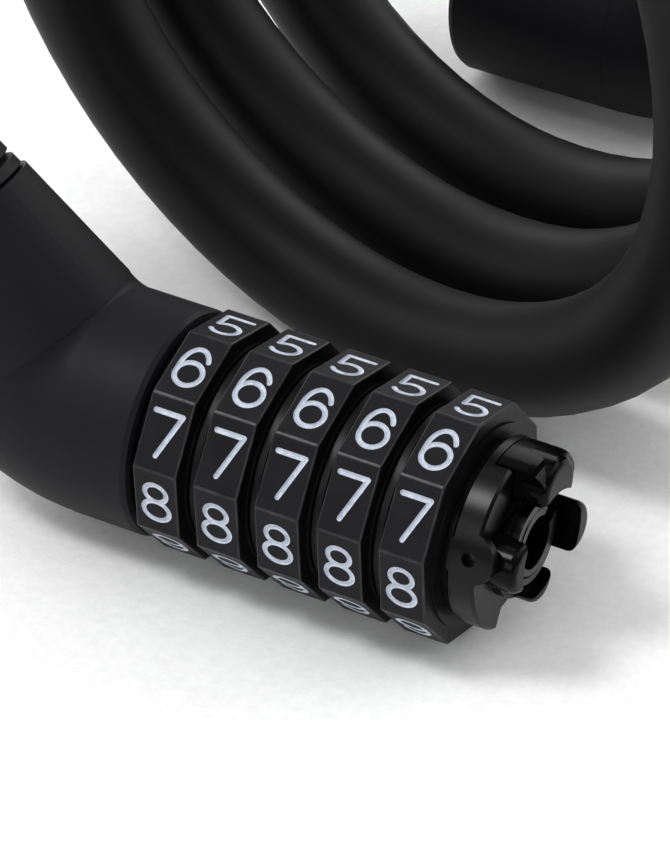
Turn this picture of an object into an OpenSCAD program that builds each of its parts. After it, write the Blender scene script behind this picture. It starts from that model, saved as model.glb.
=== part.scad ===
// Resettable combination cable lock: five number dials on a barrel, a coiled steel cable
// and a plug with a toothed bolt at its far end. The barrel lies along X with its open end
// at +X, and the origin is the middle of the barrel's axis.

/* [Dials] */
// Distance from one dial to the next
dial_pitch = 7; // [6.6:0.1:8]
// Width of a dial's number band
dial_w = 5; // [4.6:0.1:5.2]
// Radius of a dial over its corners
dial_r = 12.6; // [12.3:0.1:14]
// Chamfer on the corners of the number band
dial_bevel = 0.25; // [0.2:0.05:0.5]
// Turn of the dials that puts the shown numbers in place
dial_turn = 3.7; // [0:0.1:35.9]
// Radius of the seats on which a dial turns
seat_r = 9; // [8.9:0.05:9.3]

/* [Code rings] */
// Outer radius of a code ring
ring_r = 8.7; // [8.3:0.1:8.8]
// Width of a code ring
ring_w = 1.5; // [1.2:0.1:1.6]
// Depth of the slots that the dial's ribs drive
ring_slot = 1; // [0.6:0.1:1.4]
// Travel of the code rings when the code is reset
reset_lift = 1.6; // [1:0.1:1.6]

/* [Core] */
// Radius of the plug socket
socket_r = 2.85; // [2.6:0.05:3]
// Outer radius of the fixed core tube
core_r = 3.75; // [3.6:0.05:3.8]
// Outer radius of the sliding shift tube
shift_r = 4.5; // [4.4:0.05:4.8]
// Width of the keyway for the bolt's teeth
key_w = 2.2; // [1.8:0.1:2.6]
// How far the core tube stands out past the last dial's band
core_out = 6.1; // [5.8:0.1:6.8]
// How far the plug socket runs on past the first dial's middle
socket_deep = 6; // [5:0.1:7]

/* [End collar and reset sleeve] */
// Radius of the end collar
collar_r = 9.75; // [9.5:0.05:10]
// Radius of the round boss that holds the guide pin
boss_r = 2.7; // [2.4:0.1:3]
// Radius of the guide pin
guide_r = 0.75; // [0.5:0.05:0.8]
// Outer radius of the sleeve's hub
hub_r = 6.1; // [6:0.05:6.3]
// Length of the two side petals and of the large one
petal_t = 3.6; // [3:0.1:3.8]
// Reach of the two side petals
petal_reach = 8.4; // [7.6:0.1:8.5]
// Reach of the short petal at the bottom
low_reach = 7.6; // [6.6:0.1:8.2]
// Reach of the large petal with the locating tab
lobe_reach = 9.7; // [9:0.1:9.7]

/* [Housings] */
// Radius of the housings
housing_r = 12.1; // [12:0.1:13.5]
// Straight length of the lock housing behind the first dial
straight_len = 8.7; // [8.4:0.1:12]
// Bend from the barrel to the neck
neck_bend = 50; // [40:1:60]
// Length of the tapered neck
neck_len = 15.3; // [14:0.1:20]
// Radius at the neck's end
neck_end_r = 9.8; // [9.2:0.1:10.5]
// Length of the plug housing's straight part
plug_len = 20; // [18:0.5:30]
// Inner radius of the plug's hollow skirt
skirt_r = 10.1; // [9.9:0.05:10.6]
// Depth of the plug's hollow skirt
skirt_deep = 8.2; // [7.8:0.1:9]

/* [Strain reliefs] */
// Number of ribs on a strain relief
boot_ribs = 7; // [5:1:9]
// Distance from rib to rib
rib_pitch = 1.9; // [1.7:0.1:2.2]
// Depth of the grooves between ribs
rib_deep = 0.7; // [0.4:0.1:1]
// Radius of a strain relief at the cable
boot_end_r = 7.4; // [7:0.1:8]

/* [Cable] */
// Diameter of the cable over its sheath
cable_d = 12; // [10:0.5:12]
// Radius of the steel strand
strand_r = 4; // [3:0.1:4.2]
// Radius of the coil to the middle of the cable
coil_r = 48; // [46:1:60]
// Distance from one turn of the coil to the next
coil_pitch = 15.7; // [14:0.1:20]
// Turn of the coil about the vertical
coil_yaw = -10.8; // [-14:0.1:-6]
// Backward lean of the coil
coil_lean = 6; // [3:0.5:8]

/* [Hidden] */
$fn = 96;
gap = 0.05;              // running clearance of turning and sliding fits
step_gap = 0.1;          // clearance along the axis between stacked pieces
dial_n = 5;
digits = 10;
first_x = -dial_pitch * (dial_n - 1) / 2;
last_x = -first_x;
function dial_x(k) = first_x + dial_pitch * (k - 1);

// dial stack, measured from a dial's middle
band_half = dial_w / 2;
hub_w = 0.4;
lip_w = 0.3;
web_left = dial_pitch - band_half - lip_w - step_gap;      // spacer's web, to the left of the dial
web_right = band_half + hub_w + step_gap;
seat_left = web_right - 1.1;
seat_right = band_half - 0.7;
rib_left = seat_left - step_gap;
ring_left = rib_left - 0.4;
rib_right = -ring_left + ring_w;
rib_w = 1.1;
dial_bore = ring_r + step_gap;
rim_r = dial_r * cos(18) - 1.4;
key_a = 302;                                              // place of the keyway round the axis
key_r = 5.5;
snap_r = 5.1;
snap_w = 0.35;

// core
face_x = last_x + band_half;
core_end = face_x + core_out;
socket_end = first_x - socket_deep;
seat_disc_x = first_x - web_left - 1.2;
seat_disc_w = 1.9;
spring_x = seat_disc_x - seat_disc_w;
nut_w = 1.8;
spring_len = 5.4;
nut_x = spring_x - spring_len - reset_lift - 0.2 - nut_w;
nut_r = 7;
cavity_r = nut_r + 0.6;
cavity_x = nut_x - 1.5;
anchor_len = 3.5;
core_start = cavity_x - anchor_len;
shift_start = nut_x - 0.2;
shift_end = core_end - step_gap;
pin_r = 0.9;

// collar and sleeve
collar_x = face_x + 1.15;
collar_w = 3.05;
rim_x = collar_x + collar_w;
notch_x = rim_x - 1.9;
web_start = last_x + seat_right + 0.4;
web_end = web_start + 1.6;
guide_x = rim_x - guide_r - gap;
guide_a = 72;
collar_pin_a = key_a - 180;
collar_pin_r = 0.6;
collar_pin_x = (web_start + web_end) / 2;
slot_x = last_x - ring_left + ring_w;
sleeve_x = web_end + step_gap;
petal_x = rim_x + step_gap;
sleeve_end = petal_x + petal_t;
hub_end = rim_x + 0.9;
snap_x = petal_x + 0.2;
snap_end_w = 0.6;
lobe_a = -13;
lobe_r = 3.3;
side_petals = [79, 257];
side_petal_r = 2.7;
low_petal_a = 188;
low_petal_r = 2.4;
low_petal_t = petal_t - 1.3;
tab_from = -38;
tab_to = 10;
tab_round = 2;
ramp_x = rim_x + 0.3;                                     // middle of the ramp on the hub's end
ramp_a = 33;
ramp_w = 6;
ramp_slope = 13.4;
notch_from = -209;
notch_to = 12;

// housings
floor_z = -dial_r * cos(dial_turn);
rim_edge = first_x - band_half - 0.9;
corner_x = rim_edge - straight_len;
bend_r = housing_r + 0.6;
neck_x = corner_x - bend_r * sin(neck_bend);
neck_z = bend_r * (1 - cos(neck_bend));
boot_len = boot_ribs * rib_pitch;
exit_s = neck_len + boot_len;
ferrule_r = strand_r + 1.4;
ferrule_s = 1.5;
ferrule_len = 12;

// plug, with its bolt pointing to -X
plug_y = 96;
plug_z = floor_z + housing_r;
plug_mouth = -33;
plug_corner = plug_mouth + plug_len;
plug_neck_x = plug_corner + bend_r * sin(neck_bend);
bolt_r = socket_r - 0.1;
tooth_r = key_r - 0.3;
tooth_w = key_w - 0.4;
tooth_len = 1.6;
// distance of the plug's mouth from a dial's bolt tooth when the lock is shut
tooth_base = face_x + 0.5 + 2.6;
bolt_len = tooth_base - first_x + tooth_len + 1;
insert_r = 9;
insert_w = 6;
bolt_root = 2.5;                                          // bolt's seat behind the insert

// coil: angle 0 is at the top, and it grows clockwise as seen from the front
coil_x = -15.7;
coil_y = 29.7;
cable_r = cable_d / 2;
axis_n = [sin(-coil_yaw) * cos(coil_lean), cos(coil_yaw) * cos(coil_lean), sin(coil_lean)];
up_n = unit([0, 0, 1] - axis_n[2] * axis_n);
side_n = cross(axis_n, up_n);
coil_z = floor_z + cable_r + coil_r * up_n[2];
coil_from = -130;
coil_to = 1210;
coil_steps = 90;
lead_span = 244;
tail_span = 310;
lead_bulge = [6, 0, 12];
tail_bulge = [-4, 8, 4];
lead_end = [neck_x - cos(neck_bend) * (exit_s + cable_d), 0,
    neck_z + sin(neck_bend) * (exit_s + cable_d)];
tail_end = [plug_neck_x + cos(neck_bend) * (exit_s + cable_d), plug_y,
    plug_z + neck_z + sin(neck_bend) * (exit_s + cable_d)];
lead_start = lead_end + cable_d * [cos(neck_bend), 0, -sin(neck_bend)];
tail_start = tail_end - cable_d * [cos(neck_bend), 0, sin(neck_bend)];

function unit(v) = v / norm(v);
function ease(t) = let (u = min(1, max(0, t))) u * u * u * (10 - 15 * u + 6 * u * u);
function round_coil(a) = [coil_x, coil_y, coil_z] + coil_r * (cos(a) * up_n + sin(a) * side_n)
    + [0, coil_pitch * (a - 180) / 360, 0];
lead_shift = lead_end - round_coil(coil_from);
tail_shift = tail_end - round_coil(coil_to);
function bulge(t) = let (u = min(1, max(0, t))) 16 * pow(u * (1 - u), 2);
function coil_point(a) = let (t = (a - coil_from) / lead_span, u = (coil_to - a) / tail_span)
    round_coil(a) + lead_shift * (1 - ease(t)) + lead_bulge * bulge(t)
    + tail_shift * (1 - ease(u)) + tail_bulge * bulge(u);
cable_path = concat([lead_start],
    [for (i = [0:coil_steps]) coil_point(coil_from + (coil_to - coil_from) * i / coil_steps)],
    [tail_start]);

// least gap of the cable to itself, between points that are not neighbours along it
apart = 8;
coil_gap = min([for (i = [0:len(cable_path) - apart - 1], j = [i + apart:len(cable_path) - 1])
    norm(cable_path[i] - cable_path[j])]) - cable_d;
cable_len = sum_of([for (i = [1:len(cable_path) - 1]) norm(cable_path[i] - cable_path[i - 1])]);
function sum_of(v) = v * [for (x = v) 1];
echo(str("least gap of the cable to itself: ", coil_gap, " mm"));
echo(str("length of the cable between its strain reliefs: ", cable_len, " mm"));

// a tube of the given sides swept along points, its rings held square to the path
function sweep_points(path, r, sides, side) = [for (i = [0:len(path) - 1])
    let (t = unit(path[min(i + 1, len(path) - 1)] - path[max(i - 1, 0)]),
        b = unit(side - (side * t) * t), c = cross(t, b))
    for (j = [0:sides - 1]) path[i] + r * (cos(360 * j / sides) * b + sin(360 * j / sides) * c)];
function sweep_faces(n, sides) = concat(
    [for (i = [0:n - 2], j = [0:sides - 1]) let (k = (j + 1) % sides)
        each [[i * sides + j, (i + 1) * sides + j, (i + 1) * sides + k],
            [i * sides + j, (i + 1) * sides + k, i * sides + k]]],
    [for (j = [1:sides - 2]) [0, j, j + 1]],
    [for (j = [1:sides - 2]) [(n - 1) * sides, (n - 1) * sides + j + 1, (n - 1) * sides + j]]);
module sweep(path, r, sides, side)
    polyhedron(sweep_points(path, r, sides, side), sweep_faces(len(path), sides), convexity = 10);

// a cylinder along X from x0 to x1
module rod(x0, x1, r, fn = 96)
    translate([x0, 0, 0]) rotate([0, 90, 0]) cylinder(h = x1 - x0, r = r, $fn = fn);

// a profile of [x, r] points turned about the X axis
module turned(points)
    rotate([0, 90, 0]) rotate_extrude() polygon([for (p = points) [p[1], p[0]]]);

// a ring along X
module ring(x0, x1, outer, inner)
    difference() {
        rod(x0, x1, outer);
        rod(x0 - 1, x1 + 1, inner);
    }

// place round the axis, counted from the top towards -Y
module round_at(a) rotate([a, 0, 0]) children();

// a keyway cut outwards from the axis
module keyway(x0, x1, r, w)
    round_at(key_a) translate([x0, -w / 2, 0]) cube([x1 - x0, w, r]);

// a radial pin or hole from r0 to r1
module radial(x, a, r0, r1, r)
    round_at(a) translate([x, 0, r0]) cylinder(h = r1 - r0, r = r);

// ---- barrel ----

// elbow of a housing: corner at x = 0, bending up towards -X, with its tapered neck
module elbow() {
    translate([0, 0, bend_r]) rotate([90, 0, 0])
        rotate([0, 0, 269.7 - neck_bend]) rotate_extrude(angle = neck_bend + 0.6)
            translate([bend_r, 0]) circle(housing_r - 0.04);
    translate([-bend_r * sin(neck_bend), 0, neck_z]) rotate([0, neck_bend - 90, 0])
        cylinder(h = neck_len, r1 = housing_r, r2 = neck_end_r);
}

// along a neck's axis, from the end of the bend
module on_neck(s)
    translate([-bend_r * sin(neck_bend), 0, neck_z]) rotate([0, neck_bend - 90, 0])
        translate([0, 0, s]) children();

module neck_bores() {
    on_neck(ferrule_s) cylinder(h = ferrule_len, r = ferrule_r);
    on_neck(ferrule_s + ferrule_len) cylinder(h = neck_len, r = strand_r + gap);
    on_neck(ferrule_s + ferrule_len / 2) rotate([90, 0, 0])
        cylinder(h = 2 * pin_reach, r = pin_r, center = true);
}
pin_reach = neck_end_r - 1;

module lock_housing()
    color("#1b1b1d") difference() {
        union() {
            turned([[corner_x, 0], [rim_edge, 0], [rim_edge, housing_r - 0.8],
                [rim_edge - 0.25, housing_r - 0.25], [rim_edge - 0.8, housing_r],
                [corner_x, housing_r]]);
            translate([corner_x, 0, 0]) elbow();
        }
        rod(first_x - web_left - step_gap, rim_edge + 1, rim_r + gap);
        rod(spring_x - step_gap, rim_edge + 1, seat_r + gap);
        rod(cavity_x, rim_edge, cavity_r);
        rod(core_start, rim_edge, core_r);
        translate([core_pin_x, 0, 0]) rotate([90, 0, 0])
            cylinder(h = 2 * core_pin_reach, r = pin_r, center = true);
        translate([corner_x, 0, 0]) neck_bores();
    }
core_pin_x = core_start + anchor_len / 2;
core_pin_reach = housing_r - 2;

// ribbed strain relief: its profile runs from the neck to the cable
module boot() {
    taper = (neck_end_r - boot_end_r) / boot_len;
    rotate_extrude() polygon(concat([[strand_r + gap, 0]],
        [for (i = [0:boot_ribs - 1], q = [[0, 1], [0.2, 0], [0.8, 0], [1, 1]])
            let (s = (i + q[0]) * rib_pitch)
            [neck_end_r - 0.35 - taper * s - rib_deep * q[1], s]],
        [[strand_r + gap, boot_len]]));
}

module lock_boot() color("#202022") translate([corner_x, 0, 0]) on_neck(neck_len) boot();

module ferrule()
    rotate_extrude() polygon([[strand_r, 0.6], [ferrule_r - 0.5, 0.6], [ferrule_r - 0.5, 2.5],
        [ferrule_r, 3], [ferrule_r, ferrule_len - 1], [ferrule_r - 0.6, ferrule_len],
        [strand_r, ferrule_len]]);

module pinned_ferrule()
    difference() {
        on_neck(ferrule_s) ferrule();
        on_neck(ferrule_s + ferrule_len / 2) rotate([90, 0, 0])
            cylinder(h = 2 * housing_r, r = pin_r, center = true);
    }

module lock_ferrule() color("#b9bbbd") translate([corner_x, 0, 0]) pinned_ferrule();

module neck_pin()
    on_neck(ferrule_s + ferrule_len / 2) rotate([90, 0, 0])
        cylinder(h = 2 * pin_reach, r = pin_r, center = true);

module lock_pin() color("#c5c7c9") translate([corner_x, 0, 0]) neck_pin();

// strand end: from inside the ferrule through the strain relief
module strand_end()
    difference() {
        on_neck(ferrule_s + 0.8) cylinder(h = exit_s - ferrule_s - 0.8, r = strand_r);
        on_neck(ferrule_s + ferrule_len / 2) rotate([90, 0, 0])
            cylinder(h = 2 * housing_r, r = pin_r, center = true);
    }

module lock_strand() color("#9a9c9e") translate([corner_x, 0, 0]) strand_end();

module core_tube()
    color("#8c8d8f") difference() {
        turned([[core_start, 0], [core_end, 0], [core_end, core_r - 0.2],
            [core_end - 0.2, core_r], [core_start, core_r]]);
        rod(socket_end, core_end + 1, socket_r);
        keyway(socket_end, core_end + 1, core_r + 1, key_w);
        translate([core_pin_x, 0, 0]) rotate([90, 0, 0])
            cylinder(h = 2 * core_r + 1, r = pin_r, center = true);
        radial(collar_pin_x, collar_pin_a, 0, core_r + 1, collar_pin_r);
    }

module core_pin()
    color("#c5c7c9") translate([core_pin_x, 0, 0]) rotate([90, 0, 0])
        cylinder(h = 2 * core_pin_reach, r = pin_r, center = true);

module seat_disc()
    color("#8a8b8d") ring(spring_x, seat_disc_x, seat_r, shift_r + gap);

module reset_spring() {
    wire_r = 0.45;
    coils = 4;
    mean_r = shift_r + wire_r + 0.35;
    steps = coils * 8;
    length = spring_len - 2 * wire_r - 0.1;
    color("#d0d2d4") sweep([for (i = [0:steps]) let (a = 360 * coils * i / steps)
        [spring_x - 0.05 - wire_r - length * i / steps, mean_r * sin(a), mean_r * cos(a)]],
        wire_r, 6, [1, 0, 0]);
}

module shift_tube()
    color("#77797b") difference() {
        turned(concat([[shift_start, core_r + gap], [shift_start, shift_r]],
            [for (k = [1:dial_n], q = [-gap - snap_w, ring_w + gap])
                let (x = dial_x(k) - ring_left + q)
                each [[x, shift_r], [x, snap_r], [x + snap_w, snap_r], [x + snap_w, shift_r]]],
            [[shift_end, shift_r], [shift_end, core_r + gap]]));
        keyway(socket_end, shift_end + 1, key_r + 1, key_w + 0.2);
        round_at(collar_pin_a) translate([slot_x, -collar_pin_r - gap, 0])
            cube([collar_pin_x + collar_pin_r + gap - slot_x, 2 * (collar_pin_r + gap), 6]);
    }

module shift_nut()
    color("#a2a4a6") difference() {
        rod(nut_x, nut_x + nut_w, nut_r);
        rod(nut_x - 1, nut_x + nut_w + 1, shift_r + 0.02);
        for (a = [0, 180]) round_at(a) translate([nut_x - 1, -0.6, nut_r - 1])
            cube([nut_w + 2, 1.2, 2]);
    }

module snap_ring()
    color("#b0b2b4") difference() {
        ring(snap_x, snap_x + snap_end_w, snap_r, shift_r + 0.02);
        keyway(snap_x - 1, snap_x + 2, key_r + 1, key_w + 0.2);
    }

// spacer: a web between two dials, with a seat for each of them
module spacer(k)
    color("#222224") difference() {
        translate([dial_x(k), 0, 0]) turned([[-web_left - 1.1, snap_r + 0.2],
            [-web_left - 1.1, seat_r], [-web_left, seat_r], [-web_left, rim_r - 0.3],
            [-web_left + 0.2, rim_r], [-web_right - 0.2, rim_r], [-web_right, rim_r - 0.3],
            [-web_right, seat_r], [-seat_left, seat_r], [-seat_left, shift_r + gap],
            [-web_left, shift_r + gap], [-web_left, snap_r + 0.2]]);
        keyway(dial_x(k) - dial_pitch, dial_x(k), key_r, key_w + 0.2);
    }

module spacer_1() spacer(1);
module spacer_2() spacer(2);
module spacer_3() spacer(3);
module spacer_4() spacer(4);
module spacer_5() spacer(5);

// dial: a ten-sided band with turned sides, driven ribs inside
module dial(k)
    color("#18181a") translate([dial_x(k), 0, 0]) rotate([dial_turn, 0, 0]) {
        difference() {
            union() {
                intersection() {
                    rod(-band_half, band_half, dial_r, digits);
                    turned([[-band_half, 0], [-band_half, dial_r - dial_bevel - 0.15],
                        [-band_half + dial_bevel, dial_r - 0.02],
                        [band_half - dial_bevel, dial_r - 0.02],
                        [band_half, dial_r - dial_bevel - 0.15], [band_half, 0]]);
                }
                rod(-band_half - hub_w, 0, rim_r + 0.35);
                rod(0, band_half + lip_w, rim_r);
            }
            rod(-dial_w, dial_w, dial_bore);
            rod(-dial_w, -rib_left, seat_r + gap);
            rod(seat_right - step_gap, dial_w, seat_r + gap);
        }
        for (i = [0:digits - 1]) rotate([i * 360 / digits, 0, 0])
            translate([-rib_left, -rib_w / 2, dial_bore - 0.95])
                cube([rib_left + rib_right - 2 * gap, rib_w, 1.2]);
    }

module dial_1() dial(1);
module dial_2() dial(2);
module dial_3() dial(3);
module dial_4() dial(4);
module dial_5() dial(5);

// code ring: slots outside for the dial's ribs, one gate inside for the bolt's teeth
module code_ring(k)
    color("#c2b280") translate([dial_x(k), 0, 0]) difference() {
        ring(-ring_left, -ring_left + ring_w, ring_r, shift_r + gap);
        for (i = [0:digits - 1]) rotate([dial_turn + i * 360 / digits, 0, 0])
            translate([-dial_w / 2, -rib_w / 2 - 0.1, ring_r - ring_slot])
                cube([dial_w, rib_w + 0.2, 3]);
        keyway(-dial_w / 2, dial_w / 2, key_r, key_w + 0.2);
    }

module code_ring_1() code_ring(1);
module code_ring_2() code_ring(2);
module code_ring_3() code_ring(3);
module code_ring_4() code_ring(4);
module code_ring_5() code_ring(5);

// a wedge round the X axis from angle a0 to a1, in steps that stay under a half turn
module sector(x0, x1, a0, a1, r) {
    steps = ceil((a1 - a0) / 60);
    reach = r / cos((a1 - a0) / steps / 2);
    for (i = [0:steps - 1])
        let (b0 = a0 + (a1 - a0) * i / steps, b1 = a0 + (a1 - a0) * (i + 1) / steps)
        translate([x1, 0, 0]) rotate([0, -90, 0]) linear_extrude(x1 - x0)
            polygon([[0, 0], [reach * cos(b0), -reach * sin(b0)],
                [reach * cos(b1), -reach * sin(b1)]]);
}

module end_collar()
    color("#141416") difference() {
        union() {
            turned([[last_x + seat_right, snap_r + 0.2], [last_x + seat_right, seat_r],
                [collar_x, seat_r], [collar_x, collar_r - 0.3], [collar_x + 0.3, collar_r],
                [rim_x - 0.3, collar_r], [rim_x, collar_r - 0.3], [rim_x, hub_r + gap],
                [web_end, hub_r + gap], [web_end, shift_r + gap],
                [web_start, shift_r + gap], [web_start, snap_r + 0.2]]);
            intersection() {
                rod(collar_x, guide_x + 2 * boss_r, collar_r);
                radial(guide_x, guide_a, petal_reach + 0.15, collar_r + 1, boss_r);
            }
        }
        sector(notch_x, rim_x + 1, notch_from, notch_to, collar_r + 1);
        keyway(collar_x - 3, web_end + 1, key_r, key_w + 0.2);
        radial(guide_x, guide_a, 0, collar_r + 2, guide_r);
        radial(collar_pin_x, collar_pin_a, 0, seat_r - 0.5, collar_pin_r);
    }

module collar_pin()
    color("#c5c7c9") radial(collar_pin_x, collar_pin_a, socket_r + 0.1, seat_r - 0.5,
        collar_pin_r);

module guide_pin()
    color("#c5c7c9") radial(guide_x, guide_a, hub_r - 0.6, collar_r - 1, guide_r);

// rounded band round the hub, of which the tab is a part
module tab_band() {
    outer = collar_r - 0.1;
    end = sleeve_end - 0.3;
    turned(concat([[notch_x + step_gap, hub_r - 0.2], [notch_x + step_gap, outer]],
        [for (i = [0:6]) [end - tab_round * (1 - sin(15 * i)), outer - tab_round * (1 - cos(15 * i))]],
        [[end, hub_r - 0.2]]));
}

// reset sleeve: a hub with a helical groove, three petals and a larger one with a tab
module reset_sleeve() {
    groove_steps = 12;
    color("#161618") difference() {
        union() {
            difference() {
                rod(sleeve_x, hub_end, hub_r);
                round_at(ramp_a) translate([ramp_x, 0, core_r - 0.6])
                    rotate([0, 0, -ramp_slope]) translate([0, -ramp_w / 2, 0])
                    cube([petal_t, ramp_w, hub_r]);
            }
            for (a = side_petals) petal(a, petal_reach, side_petal_r, petal_t);
            petal(low_petal_a, low_reach, low_petal_r, low_petal_t);
            petal(lobe_a, lobe_reach, lobe_r, petal_t);
            intersection() {
                tab_band();
                sector(notch_x, sleeve_end, tab_from, tab_to, collar_r + 1);
            }
        }
        rod(sleeve_x - 1, sleeve_end + 1, shift_r + gap);
        rod(snap_x - gap, sleeve_end + 1, snap_r + 0.3);
        rod(hub_end, sleeve_end + 1, hub_r + 0.1);
        keyway(sleeve_x - 1, sleeve_end + 1, key_r, key_w + 0.2);
        for (i = [0:groove_steps]) let (t = i / groove_steps)
            radial(guide_x - reset_lift * t, guide_a + 90 * t, hub_r - 0.65, hub_r + 1,
                guide_r + 0.12);
    }
}

// petal of radius r that reaches out to the given distance from the axis
module petal(a, reach, r, t)
    round_at(a) translate([petal_x, 0, reach - r]) rotate([0, 90, 0])
        rotate_extrude() polygon(concat([[0, 0], [r, 0]],
            [for (i = [0:4]) [r - petal_round * (1 - cos(22.5 * i)),
                t - petal_round * (1 - sin(22.5 * i))]], [[0, t]]));
petal_round = 0.8;

module cable() color("#1a1a1a") sweep(cable_path, cable_r, 6, axis_n);

// ---- plug ----

module on_plug() translate([plug_corner, plug_y, plug_z]) mirror([1, 0, 0]) children();

module plug_housing()
    color("#1b1b1d") on_plug() difference() {
        union() {
            turned([[0, 0], [plug_len, 0], [plug_len, housing_r - 0.8],
                [plug_len - 0.25, housing_r - 0.25], [plug_len - 0.8, housing_r],
                [0, housing_r]]);
            elbow();
        }
        rod(plug_len - skirt_deep, plug_len + 1, skirt_r);
        rod(plug_len - skirt_deep - insert_w, plug_len + 1, insert_r);
        rod(plug_len - skirt_deep - insert_w - bolt_root - 0.5, plug_len + 1, bolt_r + gap);
        neck_bores();
    }

module plug_boot() color("#202022") on_plug() on_neck(neck_len) boot();
module plug_ferrule() color("#b9bbbd") on_plug() pinned_ferrule();
module plug_pin() color("#c5c7c9") on_plug() neck_pin();
module plug_strand() color("#9a9c9e") on_plug() strand_end();

module plug_insert()
    color("#8a8b8d") on_plug() difference() {
        rod(plug_len - skirt_deep - insert_w, plug_len - skirt_deep, insert_r);
        rod(0, plug_len, bolt_r);
        for (a = [90, 270]) round_at(a) translate([plug_len - skirt_deep - 0.8, 0, insert_r - 2.6])
            rotate([0, 90, 0]) cylinder(h = 2, r = 0.8);
    }

// bolt: a rod with one tooth behind each code ring
module plug_bolt()
    color("#c9cbcd") on_plug() {
        turned([[plug_len - skirt_deep - insert_w - bolt_root, 0],
            [plug_len - skirt_deep - insert_w - bolt_root, bolt_r],
            [plug_len + bolt_len - 1.2, bolt_r], [plug_len + bolt_len - 0.35, bolt_r - 0.7],
            [plug_len + bolt_len, bolt_r - 1.5], [plug_len + bolt_len, 0]]);
        for (k = [1:dial_n]) round_at(key_a)
            translate([plug_len + tooth_base - dial_x(k) - tooth_len / 2, -tooth_w / 2, 0])
                cube([tooth_len, tooth_w, tooth_r]);
    }

lock_housing();
lock_boot();
lock_ferrule();
lock_pin();
lock_strand();
core_tube();
core_pin();
seat_disc();
reset_spring();
shift_tube();
shift_nut();
snap_ring();
spacer_1();
spacer_2();
spacer_3();
spacer_4();
spacer_5();
dial_1();
dial_2();
dial_3();
dial_4();
dial_5();
code_ring_1();
code_ring_2();
code_ring_3();
code_ring_4();
code_ring_5();
end_collar();
collar_pin();
guide_pin();
reset_sleeve();
cable();
plug_housing();
plug_boot();
plug_ferrule();
plug_pin();
plug_strand();
plug_insert();
plug_bolt();
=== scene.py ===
import math

import bpy
from mathutils import Matrix, Vector


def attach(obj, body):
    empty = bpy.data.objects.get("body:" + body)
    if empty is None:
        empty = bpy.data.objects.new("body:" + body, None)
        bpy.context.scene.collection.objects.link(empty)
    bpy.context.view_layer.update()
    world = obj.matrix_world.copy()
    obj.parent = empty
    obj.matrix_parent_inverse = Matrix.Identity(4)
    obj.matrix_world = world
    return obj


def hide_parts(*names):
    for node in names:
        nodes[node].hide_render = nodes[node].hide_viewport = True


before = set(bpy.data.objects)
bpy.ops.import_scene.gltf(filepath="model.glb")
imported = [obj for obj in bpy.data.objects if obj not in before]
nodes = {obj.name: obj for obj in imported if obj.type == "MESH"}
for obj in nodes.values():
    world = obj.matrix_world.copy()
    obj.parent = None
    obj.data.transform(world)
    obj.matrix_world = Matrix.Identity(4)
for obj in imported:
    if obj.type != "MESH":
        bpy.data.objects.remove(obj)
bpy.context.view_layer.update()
mm = 0.001

# the dials' form, which also says how high the lock lies over the floor
dialForm = {
    "count": 5,
    "cornerRadius": 12.6,  # mm
    "flats": 10,
    "turn": 3.7,  # degrees from the top to the nearest corner
}
dialNumbers = range(1, dialForm["count"] + 1)
flatAngle = 360 / dialForm["flats"]
flatRadius = dialForm["cornerRadius"] * math.cos(math.radians(flatAngle / 2))
floorHeight = -dialForm["cornerRadius"] * math.cos(math.radians(dialForm["turn"]))


def addObject(name, data):
    thing = bpy.data.objects.new(name, data)
    bpy.context.scene.collection.objects.link(thing)
    return thing


def select(*things):
    bpy.ops.object.select_all(action="DESELECT")
    for thing in things:
        thing.select_set(True)
    bpy.context.view_layer.objects.active = things[0]


# lines become meshes here before they are joined
def joinAll(things):
    select(*things)
    bpy.ops.object.convert(target="MESH")
    bpy.ops.object.join()
    return bpy.context.view_layer.objects.active


def applyModifier(thing, kind, **settings):
    select(thing)
    modifier = thing.modifiers.new(kind.lower(), kind)
    for key, value in settings.items():
        setattr(modifier, key, value)
    bpy.ops.object.modifier_apply(modifier=modifier.name)


def applyPlace(thing):
    select(thing)
    bpy.ops.object.transform_apply(location=True, rotation=True, scale=True)


def setMaterial(thing, material):
    thing.data.materials.clear()
    thing.data.materials.append(material)


# a round line through places that each have their share of its full radius
def addLine(name, places, radius, roundness, closed=False):
    data = bpy.data.curves.new(name, "CURVE")
    data.dimensions = "3D"
    data.bevel_depth = radius
    data.bevel_resolution = roundness
    data.use_fill_caps = True
    path = data.splines.new("POLY")
    path.points.add(len(places) - 1)
    for point, (place, share) in zip(path.points, places):
        point.co = (*place, 1)
        point.radius = share
    path.use_cyclic_u = closed
    return addObject(name, data)


camera = {
    "place": (197.7, -350.4, 300.2),  # mm
    "right": (0.8707, 0.4917, 0.0),
    "ahead": (-0.397, 0.7029, -0.5902),
    "focal": 211.0,  # mm
    "sensor": 36.0,  # mm
    "clip": (0.01, 20.0),  # m
}
cameraData = bpy.data.cameras.new("camera")
cameraData.lens = camera["focal"]
cameraData.sensor_width = camera["sensor"]
cameraData.clip_start, cameraData.clip_end = camera["clip"]
cameraObject = addObject("camera", cameraData)
right = Vector(camera["right"]).normalized()
ahead = Vector(camera["ahead"]).normalized()
up = right.cross(ahead).normalized()
turn = Matrix((right, up, -ahead)).transposed().to_4x4()
cameraObject.matrix_world = Matrix.Translation(Vector(camera["place"]) * mm) @ turn
bpy.context.scene.camera = cameraObject
print("camera is in place")


noiseSpan = (0.3, 0.7)  # the part of a noise's values that a colour ramp spreads out


def newMaterial(name):
    material = bpy.data.materials.new(name)
    material.use_nodes = True
    return material, material.node_tree, material.node_tree.nodes["Principled BSDF"]


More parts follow.
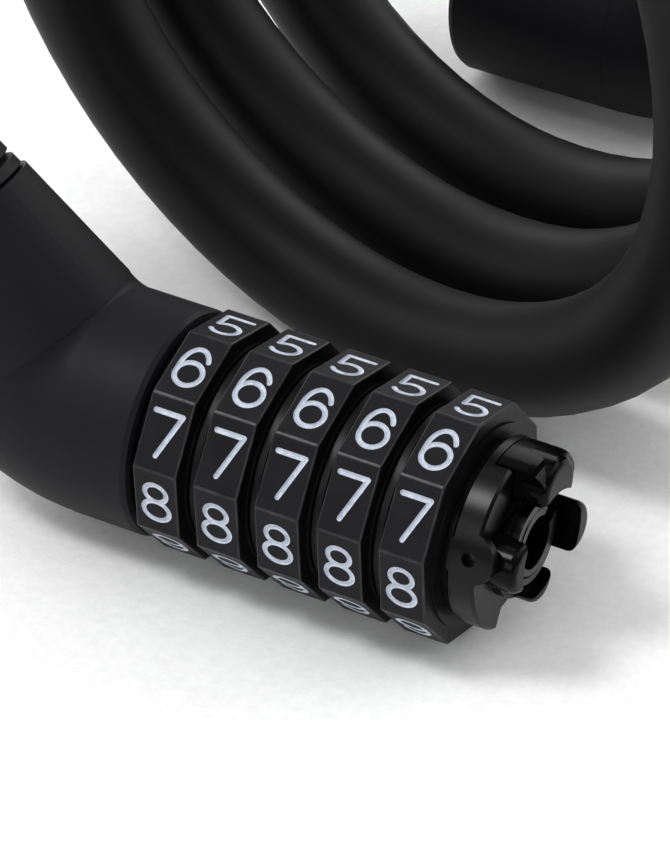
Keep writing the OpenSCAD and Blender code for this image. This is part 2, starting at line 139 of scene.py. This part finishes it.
def objectNoise(tree, scale, detail=4.0, rough=0.55, stretch=(1, 1, 1)):
    place = tree.nodes.new("ShaderNodeTexCoord")
    mapping = tree.nodes.new("ShaderNodeMapping")
    mapping.inputs["Scale"].default_value = stretch
    tree.links.new(place.outputs["Object"], mapping.inputs["Vector"])
    noise = tree.nodes.new("ShaderNodeTexNoise")
    noise.inputs["Scale"].default_value = scale
    noise.inputs["Detail"].default_value = detail
    noise.inputs["Roughness"].default_value = rough
    tree.links.new(mapping.outputs["Vector"], noise.inputs["Vector"])
    return noise


def colourFrom(tree, shader, noise, look):
    ramp = tree.nodes.new("ShaderNodeValToRGB")
    stops = zip(ramp.color_ramp.elements, noiseSpan, (look["dark"], look["light"]))
    for stop, position, colour in stops:
        stop.position = position
        stop.color = (*colour, 1)
    tree.links.new(noise.outputs["Fac"], ramp.inputs["Fac"])
    tree.links.new(ramp.outputs["Color"], shader.inputs["Base Color"])


def sheenFrom(tree, shader, noise, look):
    spread = tree.nodes.new("ShaderNodeMapRange")
    spread.inputs["To Min"].default_value = look["glossy"]
    spread.inputs["To Max"].default_value = look["matt"]
    tree.links.new(noise.outputs["Fac"], spread.inputs["Value"])
    tree.links.new(spread.outputs["Result"], shader.inputs["Roughness"])


def bumpFrom(tree, shader, noise, look):
    bump = tree.nodes.new("ShaderNodeBump")
    bump.inputs["Strength"].default_value = look["bump"]
    bump.inputs["Distance"].default_value = look["bumpDepth"]
    tree.links.new(noise.outputs["Fac"], bump.inputs["Height"])
    tree.links.new(bump.outputs["Normal"], shader.inputs["Normal"])


def plasticMaterial(name, look):
    material, tree, shader = newMaterial(name)
    colourFrom(tree, shader, objectNoise(tree, look["patchScale"]), look)
    smear = objectNoise(tree, look["smearScale"], detail=6.0, rough=0.6)
    sheenFrom(tree, shader, smear, look)
    grain = objectNoise(tree, look["grainScale"], detail=3.0, rough=0.6)
    bumpFrom(tree, shader, grain, look)
    shader.inputs["Specular IOR Level"].default_value = look["specular"]
    return material


def metalMaterial(name, look):
    material, tree, shader = newMaterial(name)
    colourFrom(tree, shader, objectNoise(tree, look["patchScale"]), look)
    lines = objectNoise(tree, look["lineScale"], rough=0.6, stretch=look["lineStretch"])
    sheenFrom(tree, shader, lines, look)
    bumpFrom(tree, shader, lines, look)
    shader.inputs["Metallic"].default_value = 1.0
    return material


softBlackLook = {
    "dark": (0.0058, 0.0054, 0.0072), "light": (0.0084, 0.0079, 0.01), "patchScale": 60,
    "glossy": 0.48, "matt": 0.6, "smearScale": 180, "grainScale": 2600,
    "bump": 0.25, "bumpDepth": 0.00004, "specular": 0.14,
}
dialBlackLook = {
    "dark": (0.0036, 0.0034, 0.0046), "light": (0.0068, 0.0063, 0.0082), "patchScale": 260,
    "glossy": 0.34, "matt": 0.5, "smearScale": 620, "grainScale": 3600,
    "bump": 0.6, "bumpDepth": 0.00004, "specular": 0.14,
}
# the edges' lighter colour is partly real wear and partly a painted highlight along the facet
# edges
wornEdgeAndPaintedHighlightLook = {
    "dark": (0.006, 0.0056, 0.0066), "light": (0.034, 0.033, 0.036), "patchScale": 520,
    "glossy": 0.24, "matt": 0.4, "smearScale": 620, "grainScale": 3600,
    "bump": 0.4, "bumpDepth": 0.00004, "specular": 0.26,
}
collarBlackLook = {
    "dark": (0.0009, 0.0009, 0.0009), "light": (0.0017, 0.0017, 0.0017), "patchScale": 160,
    "glossy": 0.25, "matt": 0.33, "smearScale": 500, "grainScale": 2400,
    "bump": 0.2, "bumpDepth": 0.00003, "specular": 0.18,
}
sleeveBlackLook = {
    "dark": (0.0012, 0.0012, 0.0012), "light": (0.0024, 0.0024, 0.0025), "patchScale": 220,
    "glossy": 0.1, "matt": 0.24, "smearScale": 500, "grainScale": 900,
    "bump": 0.15, "bumpDepth": 0.00004, "specular": 0.08,
}
# a darker black for the dials' ends, hubs, spacers and bore: painted shade for the gaps between
# the dials
paintedShadeGapBlackLook = {
    "dark": (0.0028, 0.0028, 0.003), "light": (0.0052, 0.005, 0.0055), "patchScale": 160,
    "glossy": 0.3, "matt": 0.46, "smearScale": 500, "grainScale": 1800,
    "bump": 0.2, "bumpDepth": 0.00003, "specular": 0.16,
}
sheathBlackLook = {
    "dark": (0.0012, 0.0011, 0.0011), "light": (0.0024, 0.0022, 0.0021), "patchScale": 45,
    "glossy": 0.46, "matt": 0.56, "smearScale": 140, "grainScale": 2200,
    "bump": 0.2, "bumpDepth": 0.00004, "specular": 0.16,
}
inkLook = {
    "dark": (0.42, 0.47, 0.55), "light": (0.62, 0.67, 0.76), "patchScale": 1500,
    "glossy": 0.4, "matt": 0.6, "smearScale": 1800, "grainScale": 4200,
    "bump": 0.5, "bumpDepth": 0.00004, "specular": 0.4,
}
blackSteelLook = {
    "dark": (0.02, 0.02, 0.021), "light": (0.035, 0.035, 0.036), "patchScale": 300,
    "glossy": 0.22, "matt": 0.36, "lineScale": 900, "lineStretch": (6, 0.5, 0.5),
    "bump": 0.2, "bumpDepth": 0.00002,
}
steelLook = {
    "dark": (0.34, 0.34, 0.35), "light": (0.52, 0.52, 0.53), "patchScale": 300,
    "glossy": 0.18, "matt": 0.34, "lineScale": 900, "lineStretch": (6, 0.5, 0.5),
    "bump": 0.2, "bumpDepth": 0.00002,
}
zincLook = {
    "dark": (0.42, 0.42, 0.43), "light": (0.6, 0.6, 0.61), "patchScale": 500,
    "glossy": 0.24, "matt": 0.42, "lineScale": 700, "lineStretch": (3, 1, 1),
    "bump": 0.2, "bumpDepth": 0.00002,
}
brassLook = {
    "dark": (0.42, 0.29, 0.1), "light": (0.6, 0.43, 0.17), "patchScale": 400,
    "glossy": 0.22, "matt": 0.38, "lineScale": 900, "lineStretch": (6, 0.5, 0.5),
    "bump": 0.2, "bumpDepth": 0.00002,
}
softBlack = plasticMaterial("softBlack", softBlackLook)
dialBlack = plasticMaterial("dialBlack", dialBlackLook)
wornEdgeAndPaintedHighlight = plasticMaterial("wornEdgeAndPaintedHighlight", wornEdgeAndPaintedHighlightLook)
collarBlack = plasticMaterial("collarBlack", collarBlackLook)
sleeveBlack = plasticMaterial("sleeveBlack", sleeveBlackLook)
paintedShadeGapBlack = plasticMaterial("paintedShadeGapBlack", paintedShadeGapBlackLook)
sheathBlack = plasticMaterial("sheathBlack", sheathBlackLook)
whiteInk = plasticMaterial("whiteInk", inkLook)
blackSteel = metalMaterial("blackSteel", blackSteelLook)
turnedSteel = metalMaterial("turnedSteel", steelLook)
zincPlate = metalMaterial("zincPlate", zincLook)
ringBrass = metalMaterial("ringBrass", brassLook)
print("materials are ready")


# lengths are in mm and angles in degrees
cable = {
    "diameter": 12.0,
    "coilRadius": 48.0,  # to the middle of the cable
    "coilPitch": 15.7,
    "coilYaw": -10.8,
    "coilLean": 6.0,
    "coilPlace": (-15.7, 29.7),  # of a turn's middle at angle 180, seen from above
    "fromAngle": -130.0,  # from the coil's top, clockwise as seen from the front
    "toAngle": 1210.0,
    "steps": 268,
    "leadSpan": 244.0,  # the stretch that eases from the lock into the round coil
    "tailSpan": 310.0,  # and the one from the round coil to the plug
    "leadBulge": (6.0, 0.0, 12.0),  # how far such a stretch is pushed aside midway
    "tailBulge": (-4.0, 8.0, 4.0),
    "roundness": 10,
    "housingRadius": 12.1,
    "lockCorner": -26.1,  # where the lock's housing begins to bend
    "plugCorner": -13.0,
    "plugBack": 96.0,  # how far the plug lies behind the lock
    "neckBend": 50.0,
    "bendSpare": 0.6,  # of the bend's radius over the housing's
    "neckLength": 15.3,
    "bootRibs": 7,
    "ribPitch": 1.9,
}


# where the cable leaves a housing that bends to the left (-1) or right (1), and which way
def cableExit(corner, side):
    bend = math.radians(cable["neckBend"])
    bendRadius = cable["housingRadius"] + cable["bendSpare"]
    reach = cable["neckLength"] + cable["bootRibs"] * cable["ribPitch"]
    neck = Vector(corner)
    neck += bendRadius * Vector((side * math.sin(bend), 0, 1 - math.cos(bend)))
    out = Vector((side * math.cos(bend), 0, math.sin(bend)))
    return neck + out * reach, out


def coilPoint(angle):
    yaw = math.radians(cable["coilYaw"])
    lean = math.radians(cable["coilLean"])
    a = math.radians(angle)
    axis = Vector((-math.sin(yaw) * math.cos(lean), math.cos(yaw) * math.cos(lean),
                   math.sin(lean)))
    top = (Vector((0, 0, 1)) - axis.z * axis).normalized()
    side = axis.cross(top)
    height = floorHeight + cable["diameter"] / 2 + cable["coilRadius"] * top.z
    middle = Vector((*cable["coilPlace"], height))
    back = Vector((0, cable["coilPitch"] * (angle - 180) / 360, 0))
    return middle + cable["coilRadius"] * (math.cos(a) * top + math.sin(a) * side) + back


# how far a point of the coil is moved on the stretch that leads away from it: at share 0
# the cable's end comes to its place, and at share 1 the coil is left as it is
def leadAway(share, shift, bulge):
    t = min(1.0, max(0.0, share))
    fade = t * t * t * (10 - 15 * t + 6 * t * t)
    return shift * (1 - fade) + Vector(bulge) * 16 * (t * (1 - t)) ** 2


def cablePoints():
    first, last = cable["fromAngle"], cable["toAngle"]
    leadStart, leadOut = cableExit((cable["lockCorner"], 0, 0), -1)
    plugHeight = floorHeight + cable["housingRadius"]
    tailStart, tailOut = cableExit((cable["plugCorner"], cable["plugBack"], plugHeight), 1)
    leadShift = leadStart + leadOut * cable["diameter"] - coilPoint(first)
    tailShift = tailStart + tailOut * cable["diameter"] - coilPoint(last)
    points = [leadStart]
    for i in range(cable["steps"] + 1):
        angle = first + (last - first) * i / cable["steps"]
        point = coilPoint(angle)
        point += leadAway((angle - first) / cable["leadSpan"], leadShift, cable["leadBulge"])
        point += leadAway((last - angle) / cable["tailSpan"], tailShift, cable["tailBulge"])
        points.append(point)
    points.append(tailStart)
    return [point * mm for point in points]


route = cablePoints()
cableSheath = addLine("cableSheath", [(point, 1.0) for point in route],
                      cable["diameter"] / 2 * mm, cable["roundness"])
setMaterial(cableSheath, sheathBlack)
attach(cableSheath, "barrel")
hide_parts("cable")


finishes = [
    (softBlack, ["lock_housing", "plug_housing", "lock_boot", "plug_boot"]),
    (collarBlack, ["end_collar"]),
    (sleeveBlack, ["reset_sleeve"]),
    (paintedShadeGapBlack, [f"spacer_{i}" for i in dialNumbers]),
    (ringBrass, [f"code_ring_{i}" for i in dialNumbers]),
    (blackSteel, ["core_tube", "shift_tube", "snap_ring", "guide_pin"]),
    (turnedSteel, ["lock_strand", "plug_strand", "reset_spring"]),
    (zincPlate, ["plug_bolt", "plug_insert", "shift_nut", "seat_disc", "lock_ferrule",
                 "plug_ferrule", "core_pin", "lock_pin", "plug_pin", "collar_pin"]),
]
for finish, names in finishes:
    for name in names:
        setMaterial(nodes[name], finish)
print("carried-over nodes are finished")


# lengths are in mm, and those along the axis are from the dial's middle
dials = {
    "pitch": 7.0,
    "bandWidth": 5.0,
    "hubStep": 1.05,  # how far the hub lies under the flats
    "hubWidth": 0.4,
    "lipStep": 1.4,  # how far the lip lies under the flats
    "lipWidth": 0.3,
    "bore": 8.8,
    "seatRadius": 9.05,
    "seatEnds": (-1.8, 1.7),
    "ribSpan": (-1.78, 0.0),
    "ribReach": (7.85, 9.05),  # from the axis
    "ribWidth": 1.1,
    "roundSides": 96,
    "spare": 1.0,  # how far a rod goes past the face that it joins or cuts
    "edgeSoft": 0.18,
    "edgeSteps": 3,
    "edgeTurn": 20,  # degrees that an edge turns at least where it is softened
    "smoothTurn": 6,  # degrees that an edge turns at most where it is shaded smooth
    "topNumber": 6,  # the one on the flat just in front of the top corner
    "digitWidth": 2.95,
    "digitHeight": 4.45,
    "groove": 0.31,
    "grooveSteps": 3,
    "grooveLift": 0.1,  # how far a line's middle lies over the flat
    "endRound": (14, 38, 64),  # degrees along the round end of a line
    "mergeUnder": 0.001,  # places closer than this are one
}
middleDial = (dialForm["count"] + 1) // 2


def arc(cx, cy, rx, ry, start, end, steps):
    return [(cx + rx * math.cos(math.radians(start + (end - start) * i / steps)),
             cy + ry * math.sin(math.radians(start + (end - start) * i / steps)))
            for i in range(steps + 1)]


# each number is drawn with one to three lines, as an engraver cuts it,
# in a box that reaches from -1 to 1 both ways
strokes = {
    0: [arc(0, 0, 1, 1, 90, 450, 32)],
    1: [[(0.15, 1), (0.15, -1)], [(-0.5, 0.62), (0.15, 1)]],
    2: [arc(0, 0.45, 0.95, 0.55, 165, -35, 18) + [(-1, -1)], [(-1, -1), (1, -1)]],
    3: [[(-0.9, 1), (0.85, 1)], [(0.85, 1), (-0.05, 0.2)],
        arc(-0.05, -0.4, 1, 0.6, 88, -150, 20)],
    4: [[(0.4, -1), (0.4, 1)], [(0.4, 1), (-1, -0.42)], [(-1, -0.42), (1, -0.42)]],
    5: [[(-0.95, 1), (1, 1)], [(-0.95, 1), (-0.86, -0.02)],
        [(-0.86, -0.02)] + arc(0, -0.42, 1, 0.58, 132, -150, 22)],
    6: [arc(0, -0.38, 1, 0.62, 90, 450, 28), [(-1, -0.38)] + arc(0, 0.0, 1, 1, 180, 28, 20)],
    7: [[(-1.06, 1), (1.06, 1)], [(1.06, 1), (-0.22, -1)]],
    8: [arc(0, 0.52, 0.84, 0.48, -90, 270, 26), arc(0, -0.48, 1, 0.52, 90, 450, 28)],
    9: [arc(0, 0.38, 1, 0.62, -90, 270, 28), [(1, 0.38)] + arc(0, 0.0, 1, 1, 0, -152, 20)],
}
mostLines = max(len(lines) for lines in strokes.values())


# places of a line on its flat of the dial, in mm, each with the share of the full width there
def strokePlaces(number, line, closed):
    flatsFromCorner = number - dials["topNumber"] + 0.5
    angle = math.radians(dialForm["turn"] + flatAngle * flatsFromCorner)
    out = Vector((0, -math.sin(angle), math.cos(angle)))
    upward = Vector((0, math.cos(angle), math.sin(angle)))
    base = out * (flatRadius + dials["grooveLift"])
    places = [base + upward * y * dials["digitHeight"] / 2
              + Vector((1, 0, 0)) * x * dials["digitWidth"] / 2 for x, y in line]
    if closed:
        return [(place, 1.0) for place in places[:-1]]
    first = (places[0] - places[1]).normalized() * dials["groove"]
    last = (places[-1] - places[-2]).normalized() * dials["groove"]
    slopes = [math.radians(a) for a in dials["endRound"]]
    start = [(places[0] + first * math.cos(a), math.sin(a)) for a in slopes]
    end = [(places[-1] + last * math.cos(a), math.sin(a)) for a in reversed(slopes)]
    return start + [(place, 1.0) for place in places] + end


# a cutter takes one line of each number, because a number's lines run into each other
def makeCutter(lineIndex):
    made = []
    for number, lines in strokes.items():
        if lineIndex >= len(lines):
            continue
        line = lines[lineIndex]
        closed = math.dist(line[0], line[-1]) < dials["mergeUnder"]
        places = strokePlaces(number, line, closed)
        made.append(addLine("numberLine", places, dials["groove"], dials["grooveSteps"], closed))
    cutter = joinAll(made)
    bpy.ops.object.mode_set(mode="EDIT")
    bpy.ops.mesh.select_all(action="SELECT")
    bpy.ops.mesh.remove_doubles(threshold=dials["mergeUnder"])
    bpy.ops.mesh.normals_make_consistent(inside=False)
    bpy.ops.object.mode_set(mode="OBJECT")
    setMaterial(cutter, whiteInk)
    return cutter


def addRod(fromX, toX, radius, sides, material):
    bpy.ops.mesh.primitive_cylinder_add(vertices=sides, radius=radius, depth=toX - fromX,
                                        location=((fromX + toX) / 2, 0, 0),
                                        rotation=(0, math.radians(90), 0))
    rod = bpy.context.view_layer.objects.active
    applyPlace(rod)
    setMaterial(rod, material)
    return rod


def combine(thing, other, operation):
    applyModifier(thing, "BOOLEAN", object=other, operation=operation, solver="EXACT",
                  material_mode="TRANSFER")
    bpy.data.objects.remove(other)


# the ribs in the bore, one under each corner
def addRibs():
    start, end = dials["ribSpan"]
    low, high = dials["ribReach"]
    middle = ((start + end) / 2, 0, (low + high) / 2)
    ribs = []
    for i in range(dialForm["flats"]):
        bpy.ops.mesh.primitive_cube_add(size=1, location=middle)
        rib = bpy.context.view_layer.objects.active
        rib.scale = (end - start, dials["ribWidth"], high - low)
        applyPlace(rib)
        rib.rotation_euler.x = math.radians(dialForm["turn"] + flatAngle * i)
        applyPlace(rib)
        setMaterial(rib, paintedShadeGapBlack)
        ribs.append(rib)
    return joinAll(ribs)


# the flats with their edges, lighter partly from wear and partly from a painted highlight,
# between two ends that take the gaps' darker painted shade
def addBand():
    half = dials["bandWidth"] / 2
    edgeSlot, endSlot = 1, 2
    band = addRod(-half, half, dialForm["cornerRadius"], dialForm["flats"], dialBlack)
    band.rotation_euler.x = math.radians(dialForm["turn"] + flatAngle / 2)
    applyPlace(band)
    band.data.materials.append(wornEdgeAndPaintedHighlight)
    band.data.materials.append(paintedShadeGapBlack)
    # the band's two ends take the darker black, a painted shade like that of the gaps
    for face in band.data.polygons:
        if round(abs(face.normal.x)) == 1:
            face.material_index = endSlot
    # the softened edges take the lighter colour, partly wear and partly a painted highlight
    applyModifier(band, "BEVEL", width=dials["edgeSoft"], segments=dials["edgeSteps"],
                  limit_method="ANGLE", angle_limit=math.radians(dials["edgeTurn"]),
                  material=edgeSlot)
    return band


# the middle dial stands at the origin, so it is the one that is turned and engraved;
# it is made a thousand times larger, which keeps the cuts clean
def makeMiddleDial():
    half = dials["bandWidth"] / 2
    spare = dials["spare"]
    seatLeft, seatRight = dials["seatEnds"]
    joined = [(-half - dials["hubWidth"], spare, flatRadius - dials["hubStep"]),
              (-spare, half + dials["lipWidth"], flatRadius - dials["lipStep"])]
    cut = [(-half - spare, half + spare, dials["bore"]),
           (-half - spare, seatLeft, dials["seatRadius"]),
           (seatRight, half + spare, dials["seatRadius"])]
    dial = addBand()
    dial.name = f"numberDial{middleDial}"
    for rod in joined:
        combine(dial, addRod(*rod, dials["roundSides"], paintedShadeGapBlack), "UNION")
    for rod in cut:
        combine(dial, addRod(*rod, dials["roundSides"], paintedShadeGapBlack), "DIFFERENCE")
    combine(dial, addRibs(), "UNION")
    for lineIndex in range(mostLines):
        combine(dial, makeCutter(lineIndex), "DIFFERENCE")
    dial.scale = (mm, mm, mm)
    applyPlace(dial)
    bpy.ops.object.shade_smooth_by_angle(angle=math.radians(dials["smoothTurn"]))
    return dial


def copyDial(source, index):
    dial = source.copy()
    dial.data = source.data.copy()
    dial.name = f"numberDial{index}"
    bpy.context.scene.collection.objects.link(dial)
    dial.location.x = dials["pitch"] * (index - middleDial) * mm
    applyPlace(dial)
    return dial


engravedDial = makeMiddleDial()
for i in dialNumbers:
    dial = engravedDial if i == middleDial else copyDial(engravedDial, i)
    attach(dial, f"dial_{i}_body")
    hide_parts(f"dial_{i}")
    print(f"dial {i} has {len(dial.data.polygons)} faces")


stage = {
    "size": 6.0,  # m
    "middle": (0.0, 0.4),
    "dark": (0.86, 0.86, 0.86),
    "light": (0.94, 0.94, 0.94),
    "speckleScale": 900,
    "bump": 0.3,
    "bumpDepth": 0.0002,
    "roughness": 0.8,
    "skyStrength": 0.2,
}
floorMaterial, floorTree, floorShader = newMaterial("paleFloor")
speckle = objectNoise(floorTree, stage["speckleScale"], detail=6.0, rough=0.7)
colourFrom(floorTree, floorShader, speckle, stage)
bumpFrom(floorTree, floorShader, speckle, stage)
floorShader.inputs["Roughness"].default_value = stage["roughness"]
floorPlace = (*stage["middle"], floorHeight * mm)
bpy.ops.mesh.primitive_plane_add(size=stage["size"], location=floorPlace)
floor = bpy.context.view_layer.objects.active
floor.name = "floor"
applyPlace(floor)
setMaterial(floor, floorMaterial)

world = bpy.data.worlds.new("studio")
world.use_nodes = True
background = world.node_tree.nodes["Background"]
background.inputs["Color"].default_value = (1, 1, 1, 1)
background.inputs["Strength"].default_value = stage["skyStrength"]
bpy.context.scene.world = world
bpy.context.scene.view_settings.view_transform = "Standard"

# places and sizes are in m and powers in W, and every lamp shines at the dials
lamps = {
    "keySoft": {"place": (-0.34, -0.31, 0.78), "size": (0.22, 0.22), "power": 3.7},
    "overSoft": {"place": (0.0, 0.0, 1.1), "size": (1.0, 1.0), "power": 2.3},
    "topLeftSoft": {"place": (-0.6, 0.3, 0.8), "size": (0.8, 0.8), "power": 1.0},
    "topRightSoft": {"place": (0.6, 0.3, 0.8), "size": (0.8, 0.8), "power": 2.9},
    "backSoft": {"place": (0.0, 1.0, 0.6), "size": (0.9, 0.6), "power": 5.0},
    "backLeftSoft": {"place": (-0.8, 0.6, 0.4), "size": (0.7, 0.6), "power": 3.1},
    "backRightSoft": {"place": (0.7, 0.7, 0.5), "size": (0.7, 0.6), "power": 3.2},
    "frontSoft": {"place": (-0.1, -0.9, 0.5), "size": (0.8, 0.4), "power": 2.4},
    "leftSoft": {"place": (-0.9, -0.1, 0.4), "size": (0.7, 0.6), "power": 3.3},
}
for name, lamp in lamps.items():
    data = bpy.data.lights.new(name, "AREA")
    data.shape = "RECTANGLE"
    data.size, data.size_y = lamp["size"]
    data.energy = lamp["power"]
    thing = addObject(name, data)
    thing.location = lamp["place"]
    thing.rotation_euler = (-Vector(lamp["place"])).to_track_quat("-Z", "Y").to_euler()
print("stage and light are in place")
